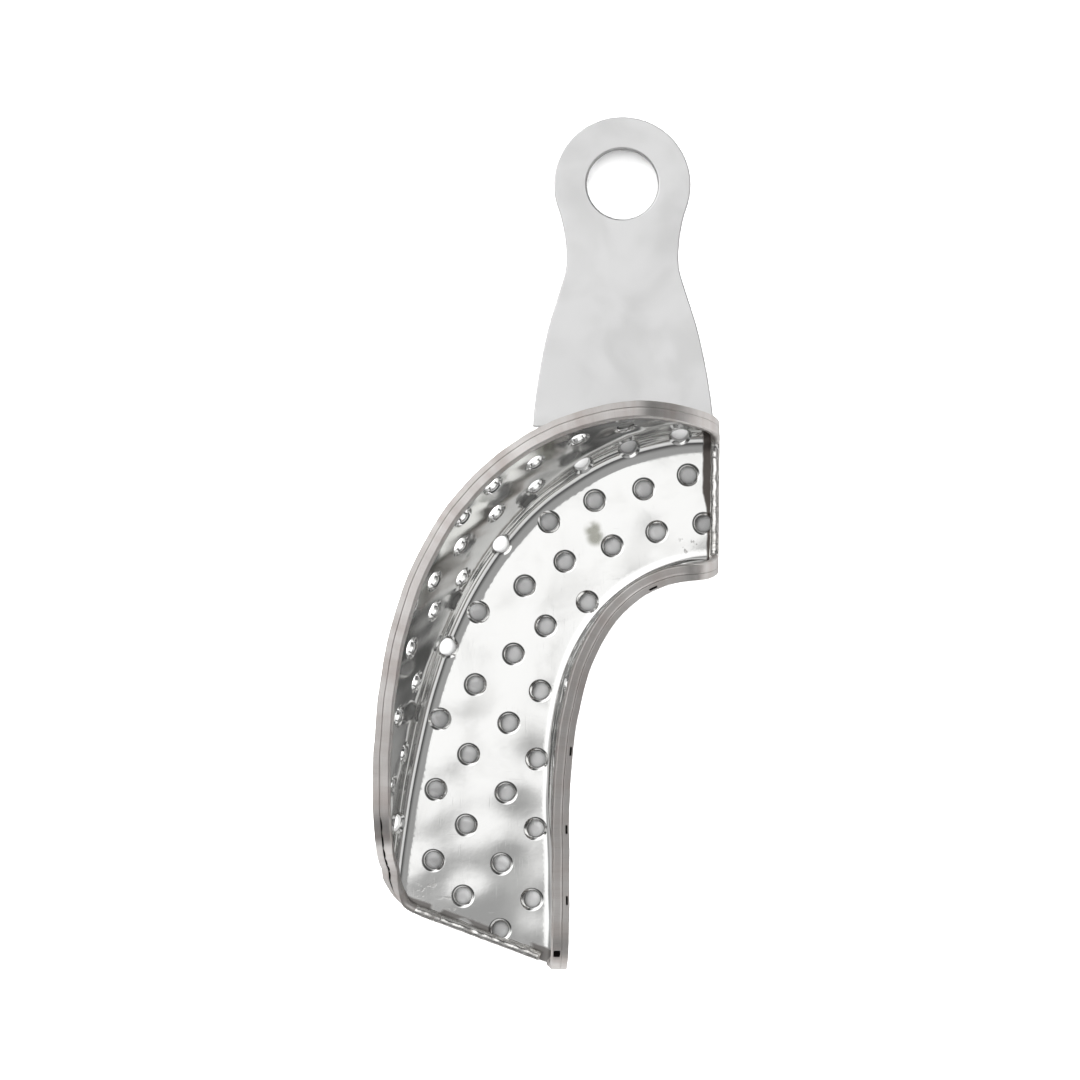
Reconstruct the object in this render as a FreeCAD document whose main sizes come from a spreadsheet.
import FreeCAD, Part
import math
import os
import Sketcher
from FreeCAD import Vector, Rotation, Placement

# A partial (quarter-arch) impression tray in stainless sheet: a perforated
# trough with a retention wire round its edge and a flat handle.
# Millimetres. +Z is up, out of the open side of the trough. +Y points along the
# handle, +X towards the midline end of the trough. The origin is on the flat
# underside of the floor, in the middle of the tray's own outline.
# In names, "front" is the trough's midline end and "back" its molar end; "outer"
# and "inner" are its two walls. On the handle, "right" is +X and "left" is -X.

os.makedirs("parts", exist_ok=True)
doc = FreeCAD.newDocument("impression_tray")

# ---------------------------------------------------------------------------
# driving dimensions

# Sections across the trough, from the midline end to the molar end:
# centre x, centre y, direction of the outer side (degrees from +X),
# half width of the flat floor, reach of the outer wall's top, reach of the
# inner wall's top, radius of the outer fillet on the channel side.
STATIONS = [
    (20.38, 5.15, 89.60, 5.76, 10.18, 8.95, 3.00),
    (16.89, 4.96, 93.93, 5.79, 10.86, 8.56, 3.07),
    (13.93, 4.43, 98.65, 5.82, 11.66, 8.27, 3.13),
    (11.00, 3.50, 103.53, 5.83, 12.53, 8.09, 3.20),
    (8.13, 2.15, 108.53, 5.85, 13.35, 8.07, 3.20),
    (5.47, 0.44, 113.44, 5.87, 14.02, 8.19, 3.20),
    (2.89, -1.74, 118.53, 5.91, 14.53, 8.46, 3.20),
    (0.58, -4.29, 123.52, 5.99, 14.88, 8.81, 3.20),
    (-1.48, -7.22, 128.44, 6.11, 15.06, 9.17, 3.20),
    (-3.37, -10.84, 133.71, 6.33, 15.08, 9.53, 3.07),
    (-4.95, -15.01, 138.94, 6.63, 14.92, 9.83, 2.93),
    (-6.20, -19.80, 144.10, 7.01, 14.55, 10.10, 2.80),
    (-7.12, -25.10, 148.90, 7.46, 13.99, 10.32, 2.65),
    (-7.75, -30.69, 153.07, 7.93, 13.27, 10.53, 2.50),
    (-8.24, -36.93, 156.64, 8.43, 12.38, 10.77, 2.35),
    (-8.97, -46.84, 159.51, 8.96, 11.07, 11.24, 2.20),
]
STATION_COLUMNS = (
    "centre_x", "centre_y", "turn", "half_floor", "outer_reach", "inner_reach", "outer_fillet",
)
LAST = len(STATIONS) - 1

DIMENSIONS = [
    # the pressed sheet
    ("sheet_thick", 0.8), ("outer_height", 14.0), ("inner_height", 8.0), ("inner_fillet", 2.0),
    ("underside_skim", 0.02),
    # the wall trims stop this far above the floor
    ("trim_lift", 0.05),
    # rounded ends of the walls: where each arc starts at floor level, ends at the rim, its radius
    ("front_x", 20.45), ("front_outer_run", 9.0), ("front_outer_round", 12.9),
    ("front_inner_run", 3.2), ("front_inner_round", 9.0),
    ("back_outer_foot_y", -45.0), ("back_outer_knee_y", -40.3), ("back_outer_knee_z", 4.65),
    ("back_outer_neck_y", -38.3), ("back_outer_neck_z", 9.65), ("back_outer_top_y", -33.6),
    ("back_outer_low_round", 6.05), ("back_outer_high_round", 6.96),
    ("back_inner_foot_y", -51.3), ("back_inner_top_y", -47.2), ("back_inner_round", 8.0),
    # perforations
    ("hole_radius", 0.98), ("hole_lead_radius", 1.40), ("hole_lead_depth", 0.30),
    # rim wire: its radius, from its centre to its ground flat, and its clearance off the sheet
    ("wire_radius", 0.62), ("wire_grind", 0.45), ("wire_gap", 0.02),
    # handle: plan outline about its own axis, then the plate's side view
    ("handle_x", 8.82), ("head_y", 42.90), ("head_radius", 8.15),
    ("neck_join_half", 7.71), ("neck_join_y", 40.25), ("neck_radius", 19.2),
    ("neck_half", 6.66), ("neck_y", 34.0), ("flare_round", 8.0),
    ("flare_half", 7.02), ("flare_y", 31.62),
    ("shoulder_half", 8.75), ("shoulder_y", 26.1), ("shoulder_round", 75.0),
    ("root_half", 10.72), ("root_right_y", 15.0), ("root_left_y", 13.9),
    ("plate_near_y", 13.0), ("plate_near_z", 4.863), ("plate_far_y", 54.0), ("plate_far_z", 1.275),
    ("plate_upright", 1.0038),
    ("eye_y", 42.95), ("eye_radius", 4.25), ("plate_edge", 0.16),
    # handle tab
    ("tab_relief", 0.35), ("tab_relief_y", 16.32), ("tab_root_y", 17.2), ("tab_root_top_z", 4.495),
    ("tab_root_low_z", 3.492), ("tab_bend_in", 0.5), ("tab_bend_out", 1.5), ("tab_corner", 1.2),
    # spot welds: radius, half length, place, and the axis's plan angle and lean in degrees
    ("weld_radius", 0.95), ("weld_reach", 0.5), ("weld_z", 7.3),
    ("weld_one_x", 6.75), ("weld_one_y", 13.904), ("weld_one_plan", 17.27), ("weld_one_lean", 20.03),
    ("weld_two_x", 12.3), ("weld_two_y", 15.091), ("weld_two_plan", 7.07), ("weld_two_lean", 14.57),
]

# Side views of the tab, from its left edge to its right one. The tab is formed
# to the wall, so its lean changes along it: x, then y and z of the six corners
# of the bend and the tab, from the plate's top face round to its underside.
TAB_SECTIONS = [
    (5.6, 14.298, 4.749, 13.879, 5.437, 15.42, 9.2, 14.495, 9.579, 12.954, 5.816, 14.211, 3.753),
    (7.0, 14.795, 4.706, 14.371, 5.38, 15.806, 9.2, 14.87, 9.552, 13.435, 5.732, 14.708, 3.71),
    (8.4, 15.22, 4.669, 14.79, 5.329, 16.121, 9.2, 15.175, 9.525, 13.845, 5.654, 15.132, 3.673),
    (9.8, 15.575, 4.638, 15.142, 5.285, 16.369, 9.2, 15.415, 9.499, 14.188, 5.584, 15.488, 3.641),
    (11.2, 15.87, 4.612, 15.432, 5.247, 16.555, 9.2, 15.593, 9.473, 14.47, 5.52, 15.783, 3.616),
    (12.6, 16.106, 4.591, 15.666, 5.213, 16.686, 9.2, 15.717, 9.448, 14.697, 5.461, 16.019, 3.595),
    (14.0, 16.288, 4.575, 15.844, 5.185, 16.764, 9.2, 15.789, 9.423, 14.87, 5.408, 16.201, 3.579),
]
TAB_COLUMNS = ("tab_x",) + tuple("tab_%s%d" % (axis, k) for k in range(1, 7) for axis in "yz")


def numbered(table, columns):
    """Dimensions of a table: each column's name with its row's number."""
    return [
        ("%s_%02d" % (column, i), value)
        for i, values in enumerate(table)
        for column, value in zip(columns, values)
    ]


sheet = doc.addObject("Spreadsheet::Sheet", "Dimensions")
sheet.set("A1", "dimension")
sheet.set("B1", "value")
all_dimensions = (
    DIMENSIONS + numbered(STATIONS, STATION_COLUMNS) + numbered(TAB_SECTIONS, TAB_COLUMNS)
)
for row, (name, value) in enumerate(all_dimensions, 2):
    sheet.set("A%d" % row, name)
    sheet.set("B%d" % row, repr(value))
    sheet.setAlias("B%d" % row, name)
doc.recompute()


def dim(name):
    return float(sheet.get(name))


THICK = dim("sheet_thick")
OUTER_HEIGHT = dim("outer_height")
INNER_HEIGHT = dim("inner_height")

# ---------------------------------------------------------------------------
# The channel-side surface of the sheet as a function of (u, w): u runs along
# the sections, w is the distance along the sheet from the floor's middle,
# positive towards the outer wall.


class Cubic:
    """Natural cubic spline through values at 0, 1, 2, ..."""

    def __init__(self, values):
        count = len(values)
        factor = [0.0] * count
        offset = [0.0] * count
        for i in range(1, count - 1):
            pivot = 0.5 * factor[i - 1] + 2.0
            bend = 3.0 * (values[i + 1] - 2 * values[i] + values[i - 1])
            factor[i] = -0.5 / pivot
            offset[i] = (bend - 0.5 * offset[i - 1]) / pivot
        second = [0.0] * count
        for i in range(count - 2, 0, -1):
            second[i] = factor[i] * second[i + 1] + offset[i]
        self.values = values
        self.second = second

    def __call__(self, u):
        i = max(0, min(len(self.values) - 2, int(math.floor(u))))
        after = u - i
        before = 1 - after
        return (
            before * self.values[i]
            + after * self.values[i + 1]
            + (before ** 3 - before) * self.second[i] / 6
            + (after ** 3 - after) * self.second[i + 1] / 6
        )


curve = {
    column: Cubic([dim("%s_%02d" % (column, i)) for i in range(LAST + 1)])
    for column in STATION_COLUMNS
}


def side(u, outer):
    """Flat half width, fillet radius, wall angle and straight wall length at u."""
    flat = curve["half_floor"](u)
    if outer:
        reach = curve["outer_reach"](u) - flat
        high, radius = OUTER_HEIGHT - THICK, curve["outer_fillet"](u)
    else:
        reach = curve["inner_reach"](u) - flat
        high, radius = INNER_HEIGHT - THICK, dim("inner_fillet")
    diagonal = math.hypot(reach, high - radius)
    straight = math.sqrt(diagonal * diagonal - radius * radius)
    angle = math.atan2(high - radius, reach) + math.atan2(radius, straight)
    return flat, radius, angle, straight


def surface(u, w):
    """Point on the channel side of the sheet."""
    flat, radius, angle, _ = side(u, w >= 0)
    run = abs(w)
    if run <= flat:
        across, z = run, THICK
    elif run <= flat + radius * angle:
        swept = (run - flat) / radius
        across = flat + radius * math.sin(swept)
        z = THICK + radius * (1 - math.cos(swept))
    else:
        up_wall = run - flat - radius * angle
        across = flat + radius * math.sin(angle) + up_wall * math.cos(angle)
        z = THICK + radius * (1 - math.cos(angle)) + up_wall * math.sin(angle)
    if w < 0:
        across = -across
    turn = math.radians(curve["turn"](u))
    x = curve["centre_x"](u) + across * math.cos(turn)
    y = curve["centre_y"](u) + across * math.sin(turn)
    return Vector(x, y, z)


def normal(u, w):
    """Unit normal into the channel."""
    step = 1e-3
    along_u = (surface(u + step, w) - surface(u - step, w)) / (2 * step)
    along_w = (surface(u, w + step) - surface(u, w - step)) / (2 * step)
    result = along_w.cross(along_u)
    result.normalize()
    return result


def edge_w(u, outer):
    """w at the top of a wall before its ends are trimmed."""
    flat, radius, angle, straight = side(u, outer)
    return (flat + radius * angle + straight) * (1 if outer else -1)


# ---------------------------------------------------------------------------
# sketch and feature helpers


def coordinate(spec):
    """Value and expression of a dimension's name, a number, or a tuple to be summed.
    A name may start with a minus. Numbers alone give no expression."""
    terms = spec if isinstance(spec, tuple) else (spec,)
    value, expression = 0.0, ""
    for term in terms:
        if isinstance(term, str):
            name = term.lstrip("-")
            minus, size, text = name != term, dim(name), "Dimensions." + name
        else:
            minus, size, text = term < 0, abs(term), "%g" % abs(term)
        value += -size if minus else size
        expression += (" - " if minus else " + ") + text
    if not any(isinstance(term, str) for term in terms):
        return value, ""
    return value, expression.lstrip(" +")


def bind(target, path, spec):
    target.setExpression(path, coordinate(spec)[1])


def drive(sketch, kind, spec, *geometry):
    """A driving constraint, bound to its dimensions."""
    value, expression = coordinate(spec)
    index = sketch.addConstraint(Sketcher.Constraint(kind, *geometry, value))
    if expression:
        sketch.setExpression("Constraints[%d]" % index, expression)


def new_sketch(body, name, role):
    sketch = body.newObject("Sketcher::SketchObject", name)
    plane = next(f for f in body.Origin.OriginFeatures if f.Role == role)
    sketch.AttachmentSupport = [(plane, "")]
    sketch.MapMode = "FlatFace"
    return sketch


def side_sketch(body, name, x_name):
    """A sketch seen along X, standing at the dimension x_name."""
    sketch = new_sketch(body, name, "YZ_Plane")
    sketch.AttachmentOffset = Placement(Vector(0, 0, dim(x_name)), Rotation())
    bind(sketch, "AttachmentOffset.Base.z", x_name)
    return sketch


def chain_ends(swapped):
    """Vertex numbers of a side's start and end. An arc is stored
    counter-clockwise, so one that is passed clockwise has them swapped."""
    return (2, 1) if swapped else (1, 2)


def closed_outline(sketch, points, arcs):
    """A closed chain through points, each a pair of coordinate specs. arcs maps
    the index of a side to (radius name, bulge), bulge +1 when the arc lies left
    of the chord; every other side is a straight line."""
    first = sketch.GeometryCount
    count = len(points)
    corners = [Vector(coordinate(x)[0], coordinate(y)[0], 0) for x, y in points]
    for i in range(count):
        start, end = corners[i], corners[(i + 1) % count]
        if i in arcs:
            radius, bulge = dim(arcs[i][0]), arcs[i][1]
            chord = end - start
            left = Vector(-chord.y, chord.x, 0)
            left.normalize()
            sag = radius - math.sqrt(radius * radius - chord.Length ** 2 / 4)
            middle = (start + end) * 0.5 + left * (sag * bulge)
            sketch.addGeometry(Part.Arc(start, middle, end), False)
        else:
            sketch.addGeometry(Part.LineSegment(start, end), False)
    ends = [chain_ends(i in arcs and arcs[i][1] > 0) for i in range(count)]
    for i in range(count):
        j = (i + 1) % count
        sketch.addConstraint(
            Sketcher.Constraint("Coincident", first + i, ends[i][1], first + j, ends[j][0])
        )
    for i, (x, y) in enumerate(points):
        drive(sketch, "DistanceX", x, -1, 1, first + i, ends[i][0])
        drive(sketch, "DistanceY", y, -1, 1, first + i, ends[i][0])
    for i, (radius_name, _) in arcs.items():
        drive(sketch, "Radius", radius_name, first + i)


def rectangle(sketch, x_low, y_low, x_high, y_high):
    corners = [(x_low, y_low), (x_high, y_low), (x_high, y_high), (x_low, y_high)]
    closed_outline(sketch, corners, {})


def loft(body, name, sketches):
    feature = body.newObject("PartDesign::AdditiveLoft", name)
    feature.Profile = sketches[0]
    feature.Sections = sketches[1:]
    feature.Ruled = False
    feature.Closed = False
    doc.recompute()
    return feature


def pocket(body, name, sketch, length, reverse=False, midplane=False):
    feature = body.newObject("PartDesign::Pocket", name)
    feature.Profile = sketch
    feature.Type = 0
    feature.Length = length
    if reverse:
        feature.Reversed = True
    if midplane:
        feature.Midplane = True
    doc.recompute()
    return feature


def fillet(body, name, base, edges, radius_name):
    feature = body.newObject("PartDesign::Fillet", name)
    feature.Base = (base, edges)
    feature.Radius = dim(radius_name)
    bind(feature, "Radius", radius_name)
    doc.recompute()


def add_shape(name, shape):
    feature = doc.addObject("Part::Feature", name)
    feature.Label = name
    feature.Shape = shape
    return feature


# ---------------------------------------------------------------------------
# tray shell: one loft of closed sheet sections, then the ends trimmed

pressing = doc.addObject("PartDesign::Body", "TrayShellBody")
pressing.Label = "tray_shell_pressing"


def skin(station, outer, outside):
    """One side of a skin, outside mm off the channel side: floor end,
    fillet middle, fillet end and wall top."""
    flat, radius, angle, length = side(station, outer)
    sign = 1 if outer else -1
    skin_radius = radius + outside

    def on_fillet(swept):
        x = sign * (flat + skin_radius * math.sin(swept))
        return Vector(x, THICK + radius - skin_radius * math.cos(swept), 0)

    floor_end = Vector(sign * flat, THICK - outside, 0)
    fillet_end = on_fillet(angle)
    top = fillet_end + Vector(sign * length * math.cos(angle), length * math.sin(angle), 0)
    return floor_end, on_fillet(angle / 2), fillet_end, top


# sides of a section in order round its outline; the outside fillets are passed clockwise
(OUTER_TOP, OUTER_BACK, OUTER_BEND_BACK, UNDERSIDE, INNER_BEND_BACK, INNER_BACK,
 INNER_TOP, INNER_WALL, INNER_BEND, FLOOR, OUTER_BEND, OUTER_WALL) = range(12)
BENDS = (OUTER_BEND_BACK, INNER_BEND_BACK, INNER_BEND, OUTER_BEND)


def sheet_section(station):
    """Closed section of the sheet, standing across the trough at a station."""
    tag = "_%02d" % station
    sketch = new_sketch(pressing, "Section" + tag[1:], "XZ_Plane")
    sketch.AttachmentOffset = Placement(
        Vector(dim("centre_x" + tag), 0, -dim("centre_y" + tag)),
        Rotation(Vector(0, 1, 0), dim("turn" + tag)),
    )
    bind(sketch, "AttachmentOffset.Base.x", "centre_x" + tag)
    bind(sketch, "AttachmentOffset.Base.z", "-centre_y" + tag)
    bind(sketch, "AttachmentOffset.Rotation.Angle", "turn" + tag)

    outside = THICK + dim("underside_skim")
    out_floor, out_mid, out_bend, out_top = skin(station, True, 0)
    out_floor2, out_mid2, out_bend2, out_top2 = skin(station, True, outside)
    in_floor, in_mid, in_bend, in_top = skin(station, False, 0)
    in_floor2, in_mid2, in_bend2, in_top2 = skin(station, False, outside)
    line, arc = Part.LineSegment, Part.Arc
    for geometry in (
        line(out_top, out_top2),
        line(out_top2, out_bend2),
        arc(out_bend2, out_mid2, out_floor2),
        line(out_floor2, in_floor2),
        arc(in_floor2, in_mid2, in_bend2),
        line(in_bend2, in_top2),
        line(in_top2, in_top),
        line(in_top, in_bend),
        arc(in_bend, in_mid, in_floor),
        line(in_floor, out_floor),
        arc(out_floor, out_mid, out_bend),
        line(out_bend, out_top),
    ):
        sketch.addGeometry(geometry, False)

    ends = [chain_ends(k in (OUTER_BEND_BACK, INNER_BEND_BACK)) for k in range(12)]
    for k in range(12):
        following = (k + 1) % 12
        kind = "Tangent" if k in BENDS or following in BENDS else "Coincident"
        sketch.addConstraint(
            Sketcher.Constraint(kind, k, ends[k][1], following, ends[following][0])
        )
    for relation in (
        ("Coincident", OUTER_BEND_BACK, 3, OUTER_BEND, 3),
        ("Coincident", INNER_BEND_BACK, 3, INNER_BEND, 3),
        ("Horizontal", FLOOR),
        ("Horizontal", UNDERSIDE),
        ("Perpendicular", OUTER_TOP, OUTER_WALL),
        ("Perpendicular", INNER_TOP, INNER_WALL),
    ):
        sketch.addConstraint(Sketcher.Constraint(*relation))
    drive(sketch, "DistanceX", "half_floor" + tag, -1, 1, FLOOR, 2)
    drive(sketch, "DistanceX", "-half_floor" + tag, -1, 1, FLOOR, 1)
    drive(sketch, "DistanceY", "sheet_thick", -1, 1, FLOOR, 2)
    drive(sketch, "DistanceY", "-underside_skim", -1, 1, UNDERSIDE, 1)
    drive(sketch, "Radius", "outer_fillet" + tag, OUTER_BEND)
    drive(sketch, "Radius", "inner_fillet", INNER_BEND)
    drive(sketch, "DistanceX", "outer_reach" + tag, -1, 1, OUTER_WALL, 2)
    drive(sketch, "DistanceY", "outer_height", -1, 1, OUTER_WALL, 2)
    drive(sketch, "DistanceX", "-inner_reach" + tag, -1, 1, INNER_WALL, 1)
    drive(sketch, "DistanceY", "inner_height", -1, 1, INNER_WALL, 1)
    return sketch


sections = [sheet_section(i) for i in range(LAST + 1)]
doc.recompute()
loft(pressing, "SheetLoft", sections)

# skim the underside flat, so that the tray rests on a true plane
skim_sketch = new_sketch(pressing, "UndersideSkim", "XY_Plane")
rectangle(skim_sketch, -40, -70, 40, 40)
pocket(pressing, "UndersideFlat", skim_sketch, 1.0)

# The trim outlines run past the sheet: above the rim, past the midline end
# and past the molar end.
ABOVE_RIM = 3
PAST_FRONT = 4
PAST_BACK_Y = -60
BACK_TRIM_X = -3.0  # the molar end's trims start from a plane inside the floor
FOOT_Z = ("sheet_thick", "trim_lift")


def trim_wall(name, role, plane_offset, outline, arcs, reverse, length):
    """Cut a wall's end to one side of the trim sketch."""
    sketch = new_sketch(pressing, name + "Trim", role)
    sketch.AttachmentOffset = Placement(Vector(0, 0, plane_offset), Rotation())
    closed_outline(sketch, outline, arcs)
    before = pressing.Shape.Volume
    pocket(pressing, name + "End", sketch, length, reverse)
    removed = before - pressing.Shape.Volume
    if not 0.01 < removed < 400:
        raise RuntimeError("trim %s removed %.3f mm3" % (name, removed))


def trim_front(wall, reverse):
    """Round a wall's end at the midline end, seen along Y."""
    height = wall + "_height"
    top_x = ("front_x", "-front_%s_run" % wall)
    outline = [
        ("front_x", FOOT_Z),
        (top_x, height),
        (top_x, (height, ABOVE_RIM)),
        (("front_x", PAST_FRONT), (height, ABOVE_RIM)),
        (("front_x", PAST_FRONT), FOOT_Z),
    ]
    arcs = {0: ("front_%s_round" % wall, -1)}
    trim_wall("Front" + wall.capitalize(), "XZ_Plane", 0, outline, arcs, reverse, 40.0)


def trim_back(wall, curved_edge, arcs, reverse, length):
    """Round a wall's end at the molar end, seen along X."""
    height, top_y = wall + "_height", "back_%s_top_y" % wall
    outline = curved_edge + [
        (top_y, height),
        (top_y, (height, ABOVE_RIM)),
        (PAST_BACK_Y, (height, ABOVE_RIM)),
        (PAST_BACK_Y, FOOT_Z),
    ]
    name = "Back" + wall.capitalize()
    trim_wall(name, "YZ_Plane", BACK_TRIM_X, outline, arcs, reverse, length)


trim_front("outer", False)
trim_front("inner", True)
back_outer_edge = [
    ("back_outer_foot_y", FOOT_Z),
    ("back_outer_knee_y", "back_outer_knee_z"),
    ("back_outer_neck_y", "back_outer_neck_z"),
]
back_outer_arcs = {0: ("back_outer_low_round", -1), 2: ("back_outer_high_round", 1)}
trim_back("outer", back_outer_edge, back_outer_arcs, False, 40.0)
trim_back("inner", [("back_inner_foot_y", FOOT_Z)], {0: ("back_inner_round", 1)}, True, 20.0)

# ---------------------------------------------------------------------------
# the trimmed outline of the channel side, as (u, w) pairs


def arc_points(start, end, radius, bulge, steps=24):
    """Points along an arc between two plane points, bulge as in closed_outline."""
    run_x, run_y = end[0] - start[0], end[1] - start[1]
    chord = math.hypot(run_x, run_y)
    depth = math.sqrt(radius * radius - chord * chord / 4)
    centre_x = (start[0] + end[0]) / 2 + run_y / chord * bulge * depth
    centre_y = (start[1] + end[1]) / 2 - run_x / chord * bulge * depth
    from_angle = math.atan2(start[1] - centre_y, start[0] - centre_x)
    to_angle = math.atan2(end[1] - centre_y, end[0] - centre_x)
    while to_angle - from_angle > math.pi:
        to_angle -= 2 * math.pi
    while from_angle - to_angle > math.pi:
        to_angle += 2 * math.pi
    angles = [from_angle + (to_angle - from_angle) * k / steps for k in range(steps + 1)]
    return [(centre_x + radius * math.cos(a), centre_y + radius * math.sin(a)) for a in angles]


front_x = dim("front_x")
foot_z = coordinate(FOOT_Z)[0]
# trim profiles as (x, z) at the midline end and (y, z) at the molar end
front_outer = arc_points(
    (front_x, foot_z), (front_x - dim("front_outer_run"), OUTER_HEIGHT),
    dim("front_outer_round"), -1,
)
front_inner = arc_points(
    (front_x, foot_z), (front_x - dim("front_inner_run"), INNER_HEIGHT),
    dim("front_inner_round"), -1,
)
back_inner = arc_points(
    (dim("back_inner_foot_y"), foot_z), (dim("back_inner_top_y"), INNER_HEIGHT),
    dim("back_inner_round"), 1,
)

# the rounded corner of the blank at the molar end of the outer wall: distance
# along the sheet from the floor's middle, distance in from the molar end
BACK_CORNER = [
    (5.0, 0.0), (7.6, 0.0), (8.9, 0.10), (9.8, 0.65), (10.8, 1.75), (12.1, 2.90), (14.0, 3.65),
    (16.0, 4.25), (18.0, 4.95), (20.0, 5.90), (21.4, 6.90), (22.3, 7.90), (22.8, 9.20),
    (23.03, 11.40),
]
CORNER_STEPS = 5  # points between neighbouring rows of the table


def station_gap(i):
    """Distance between the centres of station i and the one before it."""
    return math.hypot(
        dim("centre_x_%02d" % i) - dim("centre_x_%02d" % (i - 1)),
        dim("centre_y_%02d" % i) - dim("centre_y_%02d" % (i - 1)),
    )


last_gap = station_gap(LAST)
previous_gap = station_gap(LAST - 1)


def u_from_back(distance):
    """u at a distance in from the molar end."""
    distance = max(0.0, distance)
    if distance < last_gap:
        return LAST - distance / last_gap
    return LAST - 1 - (distance - last_gap) / previous_gap


corner_w = Cubic([w for w, _ in BACK_CORNER])
corner_distance = Cubic([distance for _, distance in BACK_CORNER])
back_corner = [
    (u_from_back(corner_distance(k / CORNER_STEPS)), corner_w(k / CORNER_STEPS))
    for k in range(CORNER_STEPS * (len(BACK_CORNER) - 1) + 1)
]


def height_at(path, place):
    """Height of a trim profile at an abscissa: the wall is cut above it."""
    foot, top = path[0][0], path[-1][0]
    if (place - top) * (foot - top) <= 0:
        return math.inf
    if (place - foot) * (foot - top) >= 0:
        return path[0][1]
    for p, q in zip(path, path[1:]):
        if (p[0] - place) * (q[0] - place) <= 0 and p[0] != q[0]:
            return p[1] + (q[1] - p[1]) * (place - p[0]) / (q[0] - p[0])
    return math.inf


def kept(u, w):
    """Whether a point of the sheet is left after the trims."""
    p = surface(u, w)
    if w < 0:
        if p.x > 0 and p.y > -12 and p.z > height_at(front_inner, p.x):
            return False
        return not (p.y < -10 and p.z > height_at(back_inner, p.y))
    if p.x > 0 and p.z > height_at(front_outer, p.x):
        return False
    if u > back_corner[-1][0]:
        for (u0, w0), (u1, w1) in zip(back_corner, back_corner[1:]):
            if w0 <= w <= w1:
                return u <= u0 + (u1 - u0) * (w - w0) / (w1 - w0)
    return True


def limit(u, outer):
    """w of the trimmed edge: stepped up from the floor, then halved."""
    top = edge_w(u, outer)
    start = side(u, outer)[0] * 0.55 * (1 if outer else -1)
    steps = 90
    last_kept = start
    for k in range(1, steps + 1):
        w = start + (top - start) * k / steps
        if not kept(u, w):
            inside, beyond = last_kept, w
            for _ in range(18):
                middle = (inside + beyond) / 2
                if kept(u, middle):
                    inside = middle
                else:
                    beyond = middle
            return inside
        last_kept = w
    return top


def even_line(points, step, smoothings):
    """Even spacing by length in space along (u, w) points, then smoothed."""
    places = [surface(u, w) for u, w in points]
    run = [0.0]
    for p, q in zip(places, places[1:]):
        run.append(run[-1] + (q - p).Length)
    count = max(2, int(round(run[-1] / step)))
    line, j = [], 0
    for k in range(count + 1):
        target = run[-1] * k / count
        while j < len(run) - 2 and run[j + 1] < target:
            j += 1
        part = (target - run[j]) / max(1e-9, run[j + 1] - run[j])
        (u0, w0), (u1, w1) = points[j], points[j + 1]
        line.append((u0 + (u1 - u0) * part, w0 + (w1 - w0) * part))
    for _ in range(smoothings):
        inner_points = [
            ((a[0] + 2 * b[0] + c[0]) / 4, (a[1] + 2 * b[1] + c[1]) / 4)
            for a, b, c in zip(line, line[1:], line[2:])
        ]
        line = [line[0]] + inner_points + [line[-1]]
    return line


def end_points(u, w_from, w_to, numbers, parts):
    """Numbered division points across an end of the sheet."""
    return [(float(u), w_from + (w_to - w_from) * k / parts) for k in numbers]


# places along the rim, closer together near both ends
rim_us = [k * 0.01 for k in range(100)]
rim_us += [1 + k * 0.1 for k in range(120)]
rim_us += [13 + k * 0.01 for k in range(201)]
outer_line = [(u, limit(u, True)) for u in rim_us]
inner_line = [(u, limit(u, False)) for u in rim_us]

# The loop starts in the middle of the midline end's floor edge, goes up the
# outer corner there, along the outer rim, down to the molar end, across it,
# back along the inner rim and across the midline end.
front_in, front_out = inner_line[0][1], outer_line[0][1]
back_in, back_out = inner_line[-1][1], outer_line[-1][1]
RISING, FALLING = range(30, 60), range(59, 29, -1)  # sixtieths, from or to half way out
loop_outer = end_points(0, 0, front_out, RISING, 60) + outer_line
loop_outer += end_points(LAST, 0, back_out, FALLING, 60)
loop_inner = end_points(LAST, 0, back_in, RISING, 60) + inner_line[::-1]
loop_inner += end_points(0, 0, front_in, FALLING, 60)
front_floor = (0, loop_inner[-1][1], loop_outer[0][1])
back_floor = (LAST, loop_outer[-1][1], loop_inner[0][1])
edge_loop = end_points(*front_floor, range(12, 24), 24) + loop_outer
edge_loop += end_points(*back_floor, range(1, 24), 24) + loop_inner
edge_loop += end_points(*front_floor, range(1, 13), 24)
rim_line = even_line(edge_loop, step=0.85, smoothings=3)

# ---------------------------------------------------------------------------
# rim wire: round wire with a ground flat, laid on the channel side of the edge


def rim_frames(line):
    """Edge point, normal into the channel and direction into the sheet."""
    places = [surface(u, w) for u, w in line]
    last = len(line) - 1
    frames = []
    for i, (u, w) in enumerate(line):
        # the loop is closed, so its two ends share one tangent
        before, after = (last - 1, 1) if i in (0, last) else (i - 1, i + 1)
        tangent = places[after] - places[before]
        tangent.normalize()
        channel = normal(u, w)
        into_sheet = channel.cross(tangent)
        into_sheet.normalize()
        frames.append((places[i], channel, into_sheet))
    # the direction into the sheet points down the wall at the rim's highest point
    highest = max(frames, key=lambda frame: frame[0].z)
    sign = -1 if highest[2].z > 0 else 1
    return [(place, channel, into_sheet * sign) for place, channel, into_sheet in frames]


rim = rim_frames(rim_line)
rim_count = len(rim) - 1


def wire_section(frame):
    """D-shaped section; its flat is level with the sheet's edge and faces away from it."""
    edge, channel, into_sheet = frame
    radius, grind = dim("wire_radius"), dim("wire_grind")
    centre = edge + channel * (radius + dim("wire_gap")) + into_sheet * grind
    half_chord = math.sqrt(radius * radius - grind * grind)
    start = centre - into_sheet * grind + channel * half_chord
    end = centre - into_sheet * grind - channel * half_chord
    arc = Part.Arc(start, centre + into_sheet * radius, end)
    return Part.Wire([arc.toShape(), Part.LineSegment(end, start).toShape()])


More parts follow.
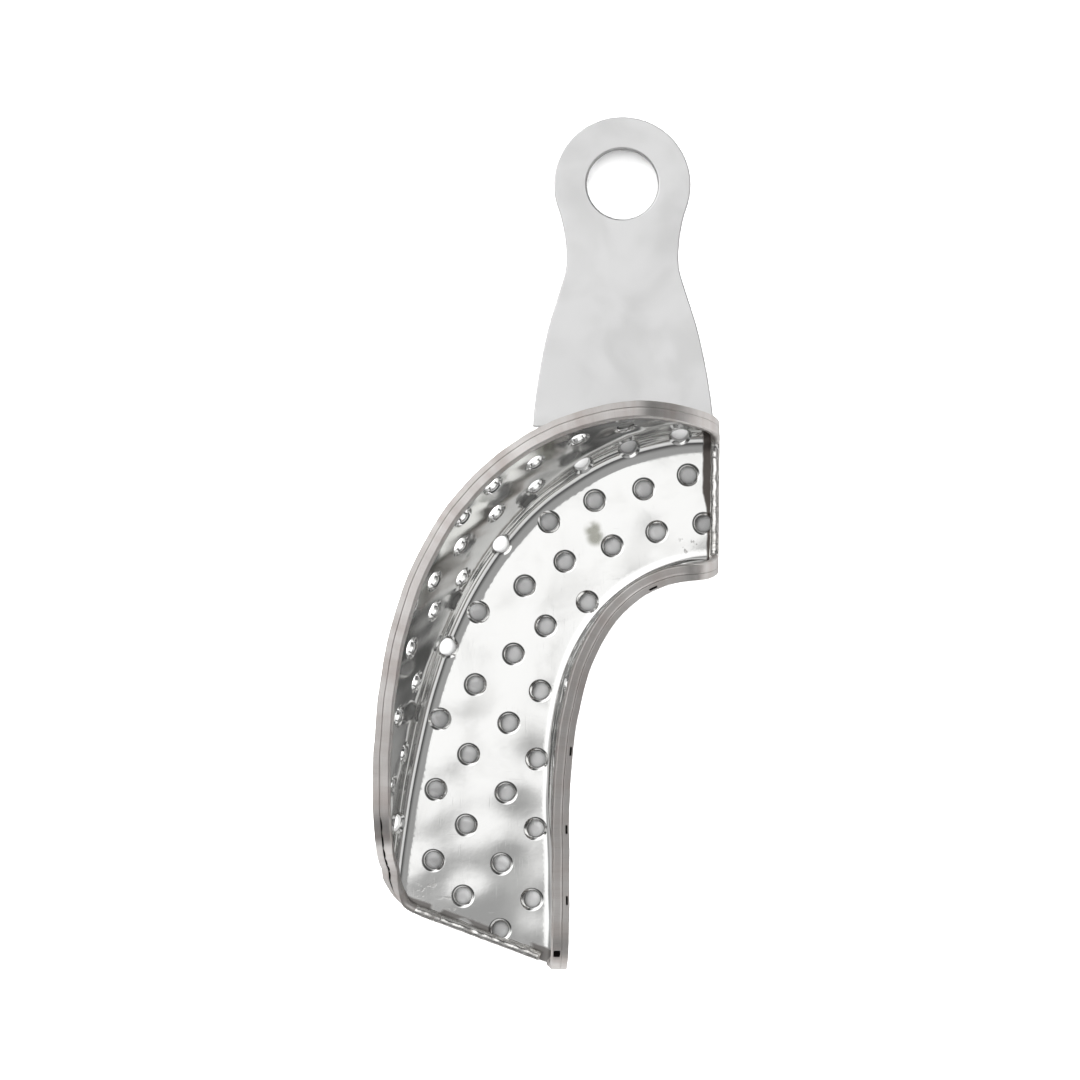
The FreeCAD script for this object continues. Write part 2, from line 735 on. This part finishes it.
def wire_piece(first, last):
    """Ruled solid along the rim from one frame to another."""
    profiles = [wire_section(rim[i % rim_count]) for i in range(first, last + 1)]
    shape = Part.makeLoft(profiles, True, True)
    if shape.Volume < 0:
        shape.reverse()
    return shape


def rim_index(u, w, first, last):
    """Place on the rim nearest to (u, w), u weighing nine times as much."""
    return min(
        range(first, last),
        key=lambda i: abs(rim_line[i][0] - u) * 9 + abs(rim_line[i][1] - w),
    )


# where each piece of the rim starts and ends, by its place on the loop
half = rim_count // 2
front_outer_end = rim_index(0, 5.2, 0, half)
outer_start = rim_index(0, 7.4, 0, half)
outer_end = rim_index(LAST, 7.0, 0, rim_count)
back_start = rim_index(LAST, 4.6, 0, rim_count)
back_end = rim_index(LAST, -8.2, half // 2, rim_count)
inner_start = rim_index(LAST, -10.0, half // 2, rim_count)
inner_end = rim_index(0, -7.2, half, rim_count)
front_start = rim_index(0, -5.2, half, rim_count)

outer_wire = add_shape("outer_rim_wire", wire_piece(outer_start, outer_end))
back_wire = add_shape("back_end_wire", wire_piece(back_start, back_end))
inner_wire = add_shape("inner_rim_wire", wire_piece(inner_start, inner_end))
front_wire = add_shape("front_end_wire", wire_piece(front_start, rim_count + front_outer_end))
# solder fills three of the four breaks; the molar end's inner one stays open
joints = [
    wire_piece(front_outer_end, outer_start),
    wire_piece(outer_end, back_start),
    wire_piece(inner_end, front_start),
]
solder = add_shape("rim_solder_joints", Part.makeCompound(joints))

# ---------------------------------------------------------------------------
# perforations: punched from the channel side, so each has a rolled lead-in

# (u, w) of every hole
FLOOR_HOLES = [  # the last two are in the outer fillet
    (0.99, 3.32), (2.66, 2.79), (4.43, 4.01), (6.10, 5.30), (0.53, -2.62), (2.49, -2.62),
    (4.41, -1.84), (6.29, 0.42), (7.91, 2.45), (6.32, -5.09), (8.20, -2.48), (9.39, 6.09),
    (9.55, -0.16), (10.82, 3.44), (9.82, -5.03), (11.91, 6.98), (11.10, -1.93), (12.25, 2.60),
    (11.47, -6.35), (13.26, 6.23), (12.60, -2.78), (13.65, 1.96), (13.05, -6.96), (14.35, 5.74),
    (14.02, -2.87), (14.62, 1.69), (14.33, -7.01), (14.83, -3.25), (7.71, 7.95), (10.51, 8.22),
]
OUTER_HOLES = [
    (1.17, 8.38), (2.88, 14.52), (4.28, 15.75), (5.66, 16.21), (6.95, 18.67), (8.04, 19.28),
    (9.53, 17.36), (10.93, 17.09), (12.20, 16.63), (2.86, 8.26), (4.39, 8.95), (5.95, 11.16),
    (7.29, 13.43), (8.54, 15.64), (9.04, 11.07), (10.04, 14.26), (11.47, 13.09), (12.83, 12.54),
    (14.06, 11.15), (10.20, 20.75), (11.58, 20.55), (12.93, 20.20), (13.45, 15.60),
]
INNER_HOLES = [
    (1.55, -8.60), (3.50, -8.90), (5.30, -9.60), (7.30, -9.00), (8.95, -9.10), (10.65, -10.20),
    (12.25, -10.90), (13.65, -11.40),
]
# u of the holes right under the inner wall's edge, half behind the wire
EDGE_HOLE_US = [3.40, 10.70, 12.65, 14.10]
EDGE_HOLE_DROP = 1.15
PUNCH_LENGTH = 3.2
PUNCH_START = 0.6  # height of the punch's end above the channel side
LEAD_START = 0.12  # height of the lead-in cone's base above the channel side


def hole_punch(u, w):
    radius, depth = dim("hole_radius"), dim("hole_lead_depth")
    slope = (dim("hole_lead_radius") - radius) / depth
    place, channel = surface(u, w), normal(u, w)
    shaft = Part.makeCylinder(radius, PUNCH_LENGTH, place + channel * PUNCH_START, channel * -1)
    lead = Part.makeCone(
        dim("hole_lead_radius") + LEAD_START * slope, radius, depth + LEAD_START,
        place + channel * LEAD_START, channel * -1,
    )
    return shaft.fuse(lead)


holes = FLOOR_HOLES + OUTER_HOLES + INNER_HOLES
holes += [(u, edge_w(u, False) + EDGE_HOLE_DROP) for u in EDGE_HOLE_US]
punches = add_shape("Punches", Part.makeCompound([hole_punch(u, w) for u, w in holes]))

# ---------------------------------------------------------------------------
# a cutter that trims the molar corner square to the sheet along its outline

CUTTER_ABOVE = 1.6
CUTTER_BELOW = 2.4
CUTTER_WIDTH = 4.0


def cutter_section(strip, i):
    u, w = strip[i]
    before, after = strip[max(0, i - 1)], strip[min(len(strip) - 1, i + 1)]
    tangent = surface(*after) - surface(*before)
    tangent.normalize()
    edge, channel = surface(u, w), normal(u, w)
    away = tangent.cross(channel)
    away.normalize()
    if away.dot(surface(u + 0.05, w) - edge) < 0:
        away = away * -1
    top, low = edge + channel * CUTTER_ABOVE, edge - channel * CUTTER_BELOW
    low_far, top_far = low + away * CUTTER_WIDTH, top + away * CUTTER_WIDTH
    return Part.makePolygon([top, low, low_far, top_far, top])


cutter_strip = back_corner[3::2]
cutter_sections = [cutter_section(cutter_strip, i) for i in range(len(cutter_strip))]
trimmer = add_shape("BackCornerTrimmer", Part.makeLoft(cutter_sections, True, True))

trimmed = doc.addObject("Part::Cut", "TrimmedPressing")
trimmed.Base = pressing
trimmed.Tool = trimmer
shell = doc.addObject("Part::Cut", "tray_shell")
shell.Label = "tray_shell"
shell.Base = trimmed
shell.Tool = punches
doc.recompute()

# ---------------------------------------------------------------------------
# handle plate: a sloping slab trimmed to its plan outline

handle = doc.addObject("PartDesign::Body", "HandleBody")
handle.Label = "handle_plate"

slab_sketch = side_sketch(handle, "PlateSide", "handle_x")
slab_outline = [
    ("plate_near_y", "plate_near_z"),
    ("plate_near_y", ("plate_near_z", "-plate_upright")),
    ("plate_far_y", ("plate_far_z", "-plate_upright")),
    ("plate_far_y", "plate_far_z"),
]
closed_outline(slab_sketch, slab_outline, {})
slab = handle.newObject("PartDesign::Pad", "PlatePad")
slab.Profile = slab_sketch
slab.Type = 0
slab.Length = 24.0
slab.Midplane = True
doc.recompute()

# plan outline: up the right edge, round the head, down the left edge, then
# round the notch that clears the tab
RIGHT_EDGE = [
    (("handle_x", "shoulder_half"), "shoulder_y"),
    (("handle_x", "flare_half"), "flare_y"),
    (("handle_x", "neck_half"), "neck_y"),
    (("handle_x", "neck_join_half"), "neck_join_y"),
]
LEFT_EDGE = [((axis, "-" + half_name), y) for (axis, half_name), y in reversed(RIGHT_EDGE)]
notch_left = ("tab_x_00", "-tab_relief")
notch_right = ("tab_x_%02d" % (len(TAB_SECTIONS) - 1), "tab_relief")
plan_outline = (
    [(("handle_x", "root_half"), "root_right_y")]
    + RIGHT_EDGE
    + [("handle_x", ("head_y", "head_radius"))]
    + LEFT_EDGE
    + [
        (("handle_x", "-root_half"), "root_left_y"),
        (notch_left, "root_left_y"),
        (notch_left, "tab_relief_y"),
        (notch_right, "tab_relief_y"),
        (notch_right, "root_right_y"),
    ]
)
plan_arcs = {
    0: ("shoulder_round", -1),
    2: ("flare_round", 1),
    3: ("neck_radius", 1),
    4: ("head_radius", -1),
    5: ("head_radius", -1),
    6: ("neck_radius", 1),
    7: ("flare_round", 1),
    9: ("shoulder_round", -1),
}
plan_sketch = new_sketch(handle, "PlateOutline", "XY_Plane")
closed_outline(plan_sketch, plan_outline, plan_arcs)
# a frame round the outline, so that the pocket removes everything outside it
rectangle(plan_sketch, -30, -10, 50, 80)
pocket(handle, "PlateTrim", plan_sketch, 30.0, midplane=True)

# the eye is drilled square to the plate
plate_drop = dim("plate_near_z") - dim("plate_far_z")
plate_run = dim("plate_far_y") - dim("plate_near_y")
eye_top_z = dim("plate_near_z") - plate_drop * (dim("eye_y") - dim("plate_near_y")) / plate_run
eye_sketch = new_sketch(handle, "EyeSketch", "XY_Plane")
eye_sketch.AttachmentOffset = Placement(
    Vector(dim("handle_x"), dim("eye_y"), eye_top_z - dim("plate_upright") / 2),
    Rotation(Vector(1, 0, 0), -math.degrees(math.atan2(plate_drop, plate_run))),
)
bind(eye_sketch, "AttachmentOffset.Base.x", "handle_x")
bind(eye_sketch, "AttachmentOffset.Base.y", "eye_y")
eye_circle = Part.Circle(Vector(0, 0, 0), Vector(0, 0, 1), dim("eye_radius"))
eye_sketch.addGeometry(eye_circle, False)
eye_sketch.addConstraint(Sketcher.Constraint("Coincident", 0, 3, -1, 1))
drive(eye_sketch, "Radius", "eye_radius", 0)
eye = pocket(handle, "Eye", eye_sketch, 6.0, midplane=True)


def edge_names(test):
    """Names of the handle's edges whose bounding box passes the test."""
    return ["Edge%d" % k for k, edge in enumerate(handle.Shape.Edges, 1) if test(edge.BoundBox)]


def plate_rim(box):
    """Edges clear of the tab's notch, without the upright ones."""
    upright = abs(box.XLength) < 1e-6 and abs(box.YLength) < 1e-6
    return not upright and (box.YMin > 16.6 or box.YMax > 20)


def tab_top_corner(box):
    """Edges through the tab's thickness at its top."""
    return box.ZMin > 9.0 and box.XLength < 1e-5 and box.YLength > 0.5


fillet(handle, "PlateEdges", eye, edge_names(plate_rim), "plate_edge")

# ---------------------------------------------------------------------------
# handle tab: bent up from the plate and formed to the outer wall


def tab_section(k):
    tag = "_%02d" % k
    sketch = side_sketch(handle, "TabSection%d" % k, "tab_x" + tag)
    corners = [("tab_y%d%s" % (c, tag), "tab_z%d%s" % (c, tag)) for c in range(1, 7)]
    root_top, root_low = ("tab_root_y", "tab_root_top_z"), ("tab_root_y", "tab_root_low_z")
    bends = {1: ("tab_bend_in", 1), 5: ("tab_bend_out", -1)}
    closed_outline(sketch, [root_top] + corners + [root_low], bends)
    return sketch


tab_sketches = [tab_section(k) for k in range(len(TAB_SECTIONS))]
doc.recompute()
tab = loft(handle, "TabLoft", tab_sketches)
fillet(handle, "TabCorners", tab, edge_names(tab_top_corner), "tab_corner")

# ---------------------------------------------------------------------------
# spot-weld nuggets: they fill the slit between tab and wall


def nugget(name):
    plan, lean = math.radians(dim(name + "_plan")), math.radians(dim(name + "_lean"))
    level = math.cos(lean)
    axis = Vector(-math.sin(plan) * level, math.cos(plan) * level, -math.sin(lean))
    centre = Vector(dim(name + "_x"), dim(name + "_y"), dim("weld_z"))
    reach = dim("weld_reach")
    rod = Part.makeCylinder(dim("weld_radius"), 2 * reach, centre - axis * reach, axis)
    pieces = rod.cut(shell.Shape).cut(handle.Shape).Solids
    return max(pieces, key=lambda piece: piece.Volume)


nuggets = [nugget("weld_one"), nugget("weld_two")]
welds = add_shape("handle_spot_welds", Part.makeCompound(nuggets))
doc.recompute()

# ---------------------------------------------------------------------------
# check everything, then write

for item in doc.Objects:
    if "Invalid" in item.State or "Error" in item.State:
        raise RuntimeError("failed: %s %s" % (item.Name, item.State))
nodes = {
    "tray_shell": shell,
    "outer_rim_wire": outer_wire,
    "inner_rim_wire": inner_wire,
    "front_end_wire": front_wire,
    "back_end_wire": back_wire,
    "rim_solder_joints": solder,
    "handle_plate": handle,
    "handle_spot_welds": welds,
}
for name, node in nodes.items():
    shape = node.Shape
    if shape.isNull() or not shape.isValid() or not shape.Solids:
        raise RuntimeError("bad shape: " + name)
    if any(solid.Volume <= 0 for solid in shape.Solids):
        raise RuntimeError("inside out: " + name)
for name, node in nodes.items():
    node.Shape.exportStep("parts/%s.step" % name)
